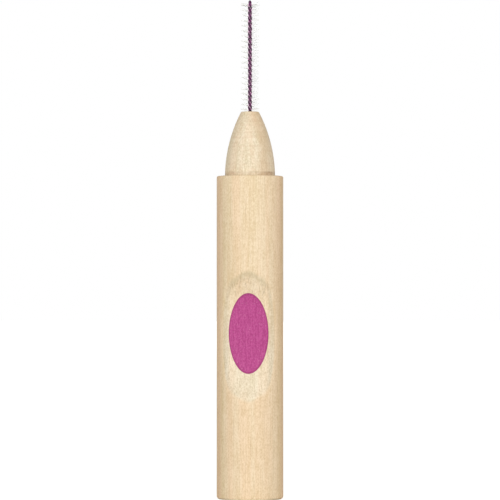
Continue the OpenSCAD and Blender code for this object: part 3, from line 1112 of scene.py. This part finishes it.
deselect_all()
bpy.ops.mesh.primitive_circle_add(vertices=FLOOR_SIDES, radius=FLOOR_R, fill_type="NGON")
floor = bpy.context.object
floor.name = "studio_floor"
bpy.ops.object.mode_set(mode="EDIT")
bpy.ops.mesh.select_all(action="SELECT")
bpy.ops.mesh.inset(thickness=FLOOR_INSET)
bpy.ops.object.mode_set(mode="OBJECT")
print(floor.name, "is", round(floor.dimensions.x, 1), "m across")

# %% [markdown]
# The floor is matte white paper. The photograph's ground is pure white, and enough light
# for that would bleach the wood. So the paper adds a glow, a little stronger further out,
# that only the camera and clear or glossy surfaces see. It lights nothing, and it still
# keeps the object's soft shadow.

# %% Matte white paper
PAPER_CLOUDS_PER_M = 20
# The glow grows between these two distances from the object, in metres
NEAR, FAR = 0.1, 1.0
GLOW_NEAR, GLOW_FAR = 0.66, 0.85


def seen_as_ground(tree):
    """1 for the camera's rays and for those off or through a surface, else 0."""
    ray = add(tree, "LightPath").node.outputs
    seen = ray["Is Camera Ray"]
    for kind in ("Is Glossy Ray", "Is Transmission Ray"):
        seen = add(tree, "Math", {0: seen, 1: ray[kind]}, operation="MAXIMUM")
    return seen


paper, tree = new_material("paper_white_matte")
place = add(tree, "TexCoord", out="Object")
cloud = add(tree, "TexNoise", {"Vector": place, "Scale": PAPER_CLOUDS_PER_M})
shade = add(
    tree, "Mix", {FAC: cloud, A: linear("#E6E6E6"), B: linear("#EAEAEA")}, MIXED, **BLEND
)
matte = add(tree, "BsdfDiffuse", {"Color": shade})
away = add(tree, "VectorMath", {0: place}, "Value", operation="LENGTH")
strength = add(
    tree, "MapRange", {VALUE: away, LOW: NEAR, HIGH: FAR, TO_LOW: GLOW_NEAR, TO_HIGH: GLOW_FAR}
)
glow = add(tree, "Emission", {"Color": linear("#F8FCFF"), "Strength": strength})
lit = add(tree, "AddShader", {0: matte, 1: glow})
both = add(tree, "MixShader", {0: seen_as_ground(tree), 1: matte, 2: lit})
add(tree, "OutputMaterial", {"Surface": both})
floor.data.materials.append(paper)
print(paper.name, "has", len(tree.nodes), "nodes")

# %% [markdown]
# The world is the studio's white walls. They could be lamps all round, but a world has no
# edges that show on gloss. The camera and clear or glossy surfaces see it plain white. To
# matte surfaces it gives a slightly warm fill from all sides, stronger behind the object,
# where the lamp doesn't reach.

# %% World
FILL = 0.37
BACK_FILL = 1.3
BACK_FROM = 0.4

world = bpy.data.worlds.new("white_studio")
bpy.context.scene.world = world
world.use_nodes = True
tree = world.node_tree
tree.nodes.clear()
way = add(tree, "TexCoord", out="Generated")
behind = add(tree, "SeparateXYZ", {0: way}, "Y")
strength = add(
    tree,
    "MapRange",
    {VALUE: behind, LOW: BACK_FROM, HIGH: 1, TO_LOW: FILL, TO_HIGH: BACK_FILL},
    **EASE,
)
fill = add(tree, "Background", {"Color": linear("#FFF7EE"), "Strength": strength})
white = add(tree, "Background", {"Color": linear("#FFFFFF"), "Strength": 1.0})
sky = add(tree, "MixShader", {0: seen_as_ground(tree), 1: fill, 2: white})
add(tree, "OutputWorld", {"Surface": sky})
print(world.name, "fills with", FILL, "in front and", BACK_FILL, "behind")

# %% [markdown]
# The photograph is lit from a little above the camera by one large soft lamp. It makes
# the upper slope of the scoop a little darker and the lower slope a little lighter, and
# it lets the barrel's sides fall off. A sun would do, but its light has one direction and
# throws hard shadows, so a wide area lamp stands in for the softbox.

# %% Lamp
LAMP_AZIMUTH = 3.5
LAMP_ELEVATION = 12
LAMP_DISTANCE = 0.9
LAMP_SIZE = 0.4
LAMP_WATTS = 4.87
LAMP_AIM = Vector((0, 0, 0.024))

turn = math.radians(LAMP_AZIMUTH)
rise = math.radians(LAMP_ELEVATION)
right = math.sin(turn) * math.cos(rise)
front = -math.cos(turn) * math.cos(rise)
towards = Vector((right, front, math.sin(rise)))
deselect_all()
bpy.ops.object.light_add(type="AREA", location=LAMP_AIM + towards * LAMP_DISTANCE)
lamp = bpy.context.object
lamp.name = "key_softbox"
lamp.data.shape = "SQUARE"
lamp.data.size = LAMP_SIZE
lamp.data.energy = LAMP_WATTS
lamp.data.color = linear("#FDFEFF")[:3]
lamp.rotation_euler = towards.to_track_quat("Z", "Y").to_euler()
print(lamp.name, "at", [round(v, 3) for v in lamp.location])

# %% [markdown]
# The camera stands 290 mm away, 19 mm above the floor and slightly to the right of the
# scoop, and looks up by one degree, as the curves of the base and the shoulder show in
# the photograph. The middle of its picture is 23.9 mm above the floor. The focal length
# could be tried until the size is right, but it follows from the photograph's 10.4
# pixels to a millimetre at that distance.

# %% Camera
CAMERA_AZIMUTH = 3.5
CAMERA_DISTANCE = 290
CAMERA_HEIGHT = 19
AIM_HEIGHT = 23.9
PIXELS_PER_MM = 10.4
PICTURE_PIXELS = 500
SENSOR_WIDTH = 36
CLIP_START = 0.005

turn = math.radians(CAMERA_AZIMUTH)
pitch = math.atan2(AIM_HEIGHT - CAMERA_HEIGHT, CAMERA_DISTANCE)
right = math.sin(turn) * CAMERA_DISTANCE
front = -math.cos(turn) * CAMERA_DISTANCE
deselect_all()
bpy.ops.object.camera_add(
    location=Vector((right, front, CAMERA_HEIGHT)) * MM,
    rotation=(math.pi / 2 + pitch, 0, turn),
)
camera = bpy.context.object
camera.data.sensor_width = SENSOR_WIDTH
camera.data.lens = SENSOR_WIDTH * PIXELS_PER_MM * CAMERA_DISTANCE / PICTURE_PIXELS
camera.data.clip_start = CLIP_START
bpy.context.scene.camera = camera
bpy.context.scene.view_settings.view_transform = "Standard"
print("camera at", [round(v, 4) for v in camera.location], "lens", round(camera.data.lens, 1))
